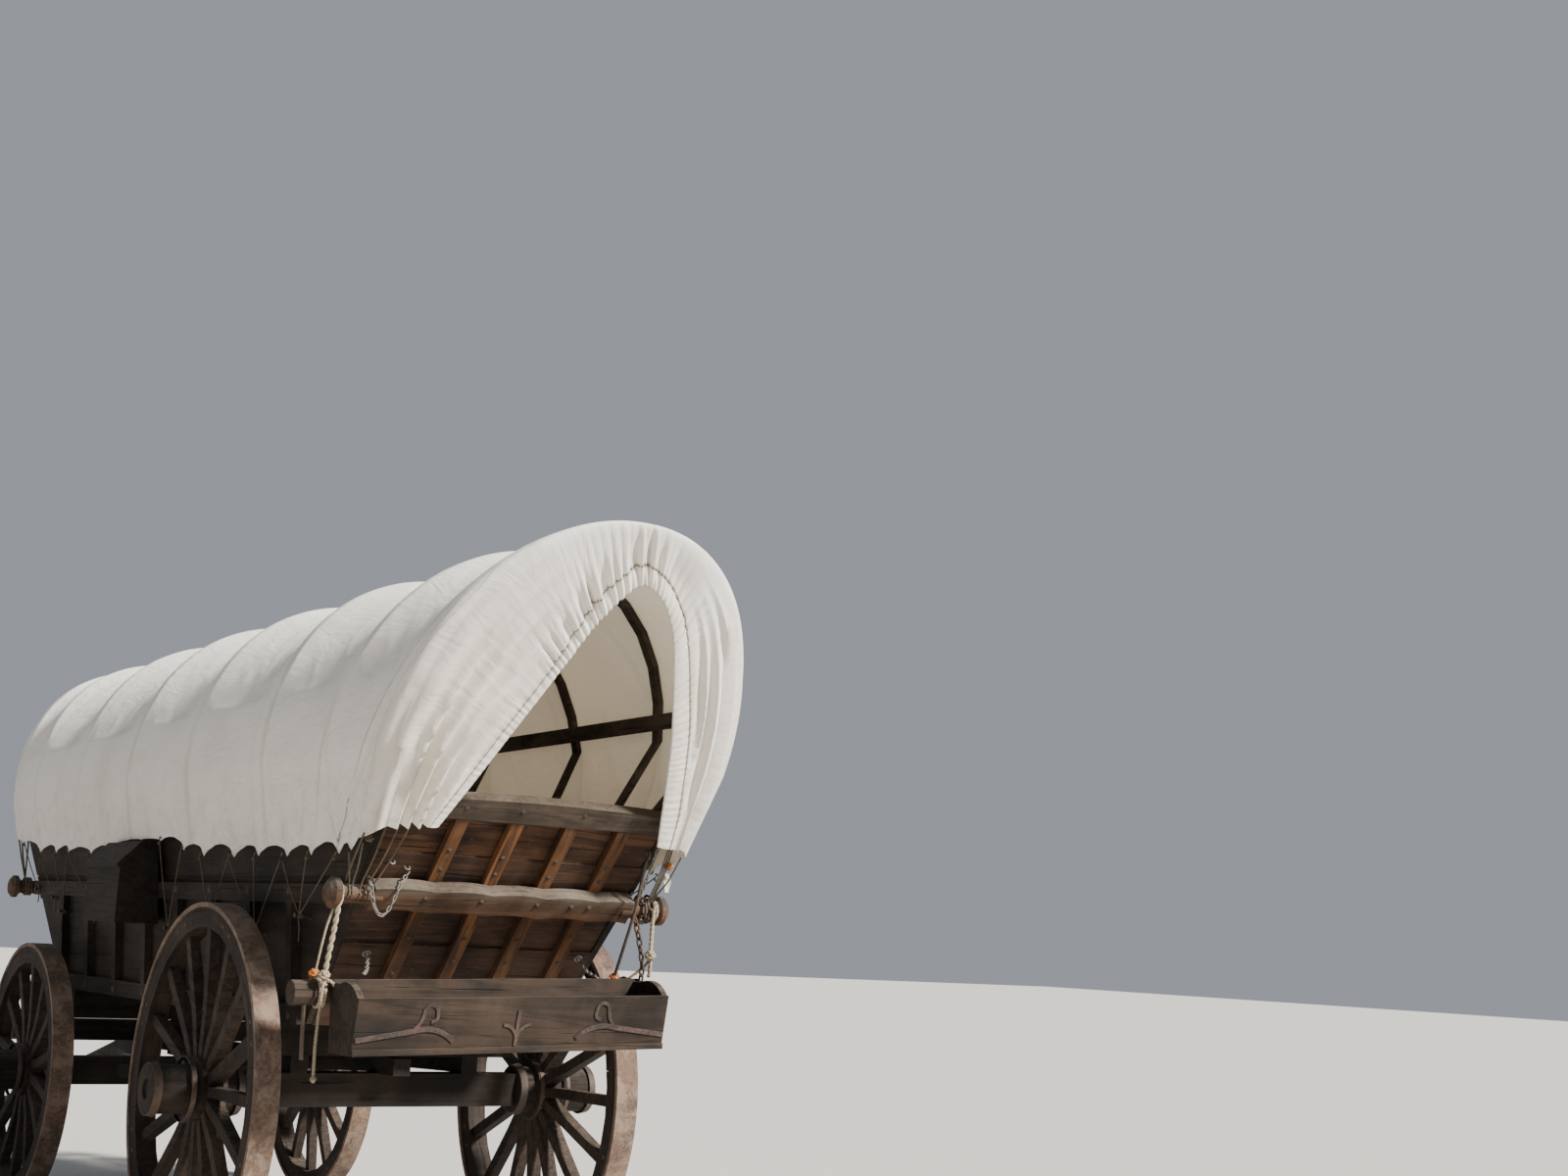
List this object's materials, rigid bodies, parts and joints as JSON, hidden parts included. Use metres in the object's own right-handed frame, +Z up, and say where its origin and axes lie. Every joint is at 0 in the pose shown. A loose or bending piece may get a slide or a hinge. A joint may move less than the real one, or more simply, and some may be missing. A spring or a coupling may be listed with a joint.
{
  "type": "covered wagon",
  "caption": "Freight wagon with a flared, raked wooden box on spoked wheels, a canvas cover over bows, a rear feed trough and a drawn tongue.",
  "frame": {"origin": "on the ground under the middle of the whole length, midway between left and right", "axes": "+X forward along the wagon towards the tongue, +Y left, +Z up"},
  "size_m": [7.843, 1.883, 2.7603],
  "materials": {
    "canvas": "woven cotton duck",
    "dark_wood": "weathered, dark stained",
    "gate_wood": "oiled boards",
    "trough_wood": "weathered grey-brown",
    "iron": "forged, rusty",
    "rope": "twisted hemp, greyed",
    "tyre_iron": "rusty iron hoop"
  },
  "bodies": {
    "wagon": {"bows": "dark_wood", "cover": "canvas", "cover_rails": "dark_wood", "feed_trough": "trough_wood", "floor_boards": "dark_wood", "front_bolster": "dark_wood", "front_crossbar": "trough_wood", "front_gate": "gate_wood", "front_gate_frame": "gate_wood", "left_side_boards": "dark_wood", "left_side_frame": "dark_wood", "reach": "dark_wood", "rear_axle": "dark_wood", "rear_bolster": "dark_wood", "rear_crossbar": "trough_wood", "rear_gate": "gate_wood", "rear_gate_frame": "gate_wood", "rear_hounds": "dark_wood", "right_side_boards": "dark_wood", "right_side_frame": "dark_wood", "sills": "dark_wood", "toolbox": "dark_wood", "trough_bar": "dark_wood", "trough_hangers": "rope", "trough_irons": "iron"},
    "rear_left_wheel": {"rear_left_felloes": "dark_wood", "rear_left_hub": "dark_wood", "rear_left_spokes": "dark_wood", "rear_left_tyre": "tyre_iron"},
    "rear_right_wheel": {"rear_right_felloes": "dark_wood", "rear_right_hub": "dark_wood", "rear_right_spokes": "dark_wood", "rear_right_tyre": "tyre_iron"},
    "front_left_wheel": {"front_left_felloes": "dark_wood", "front_left_hub": "dark_wood", "front_left_spokes": "dark_wood", "front_left_tyre": "tyre_iron"},
    "front_right_wheel": {"front_right_felloes": "dark_wood", "front_right_hub": "dark_wood", "front_right_spokes": "dark_wood", "front_right_tyre": "tyre_iron"},
    "front_gear": {"front_axle": "dark_wood", "front_hounds": "dark_wood", "kingpin": "iron", "sand_board": "dark_wood", "sway_bar": "dark_wood", "tongue_pin": "iron"},
    "tongue": {"doubletree": "dark_wood", "tongue": "dark_wood"},
    "toolbox_lid": {"toolbox_lid": "dark_wood"}
  },
  "joints": [
    {"name": "rear_left_spin", "type": "hinge", "parent": "wagon", "child": "rear_left_wheel", "pos_m": [-2.0715, 0.7365, 0.7], "axis": [0, 1, 0], "continuous": true},
    {"name": "rear_right_spin", "type": "hinge", "parent": "wagon", "child": "rear_right_wheel", "pos_m": [-2.0715, -0.7365, 0.7], "axis": [0, 1, 0], "continuous": true},
    {"name": "front_turn", "type": "hinge", "parent": "wagon", "child": "front_gear", "pos_m": [0.3185, 0, 0.59], "axis": [0, 0, 1], "range_deg": [-12, 12]},
    {"name": "front_left_spin", "type": "hinge", "parent": "front_gear", "child": "front_left_wheel", "pos_m": [0.3185, 0.7365, 0.59], "axis": [0, 1, 0], "continuous": true},
    {"name": "front_right_spin", "type": "hinge", "parent": "front_gear", "child": "front_right_wheel", "pos_m": [0.3185, -0.7365, 0.59], "axis": [0, 1, 0], "continuous": true},
    {"name": "tongue_lift", "type": "hinge", "parent": "front_gear", "child": "tongue", "pos_m": [0.9385, 0, 0.695], "axis": [0, -1, 0], "range_deg": [0, 30]},
    {"name": "toolbox_lid_hinge", "type": "hinge", "parent": "wagon", "child": "toolbox_lid", "pos_m": [-0.6915, 0.685, 1.64314], "axis": [1, 0, 0], "range_deg": [0, 108]}
  ]
}
